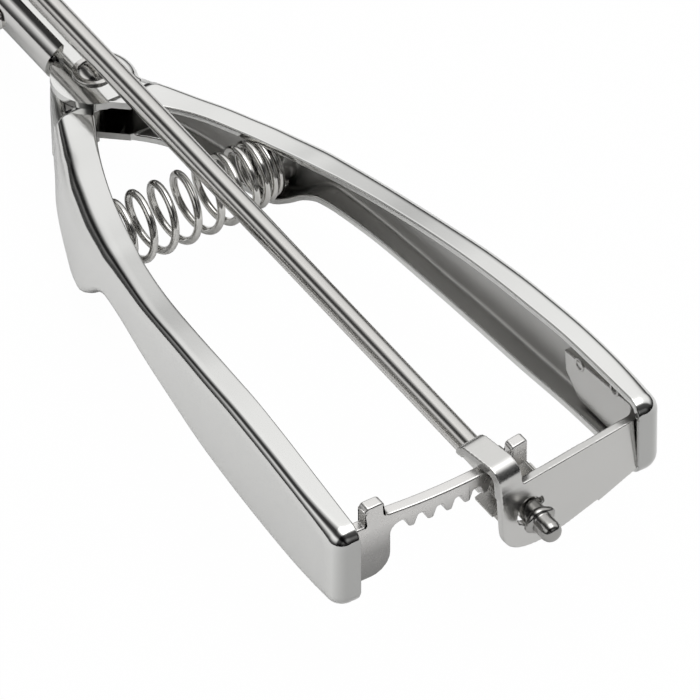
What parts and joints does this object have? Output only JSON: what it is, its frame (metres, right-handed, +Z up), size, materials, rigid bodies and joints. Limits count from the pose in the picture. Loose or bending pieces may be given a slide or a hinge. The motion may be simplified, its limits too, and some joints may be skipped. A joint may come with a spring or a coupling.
{
  "type": "lever ice cream scoop",
  "caption": "Squeeze-handle ice cream scoop: a rack on the moving handle turns a rod that sweeps a scraper band through a round bowl.",
  "frame": {"origin": "middle of the bottom of the bounding box, under the bowl's lowest point", "axes": "+X along the scraper rod from the bowl to the gear end, +Y towards the fixed handle, +Z up out of the bowl's mouth"},
  "size_m": [0.2414, 0.0708, 0.0377],
  "materials": {
    "handle_steel": "mirror-polished stainless steel",
    "bowl_steel": "polished stainless steel",
    "polished_steel": "polished stainless steel",
    "rod_steel": "drawn stainless steel rod",
    "spring_steel": "bright spring wire",
    "gear_steel": "machined steel",
    "rack_steel": "stamped steel, satin",
    "bracket_steel": "stamped steel, satin",
    "rivet_steel": "polished rivet steel",
    "braze": "weld metal"
  },
  "bodies": {
    "frame": {"right_handle": "handle_steel", "shank_sleeve": "polished_steel", "tang_rivet": "rivet_steel", "bowl": "bowl_steel", "bowl_braze": "braze", "pivot_rivet": "rivet_steel", "pivot_washers": "rivet_steel", "right_spring_seat": "polished_steel", "gear_bracket": "bracket_steel", "bracket_welds": "braze"},
    "lever": {"left_handle": "handle_steel", "left_spring_seat": "polished_steel", "rack": "rack_steel", "rack_welds": "braze", "return_spring": "spring_steel"},
    "scraper": {"scraper_rod": "rod_steel", "pinion": "gear_steel", "pinion_spacer": "gear_steel", "scraper_blade": "polished_steel", "blade_hub": "polished_steel", "hub_pin": "rivet_steel", "blade_stub": "rivet_steel"}
  },
  "joints": [
    {"name": "squeeze", "type": "hinge", "parent": "frame", "child": "lever", "pos_m": [-0.03633, 0.00526, 0.013], "axis": [0, 0, 1], "range_deg": [0, 5.71], "stiffness_Nm_per_rad": 1.9, "springref_deg": -16.04, "deforming": ["return_spring"]},
    {"name": "scrape", "type": "hinge", "parent": "frame", "child": "scraper", "pos_m": [0.02368, 0.00476, 0.025], "axis": [-1, 0, 0], "range_deg": [0, 164]}
  ],
  "couplings": [
    {"joint": "scrape", "follows": "squeeze", "ratio": 28.7}
  ]
}
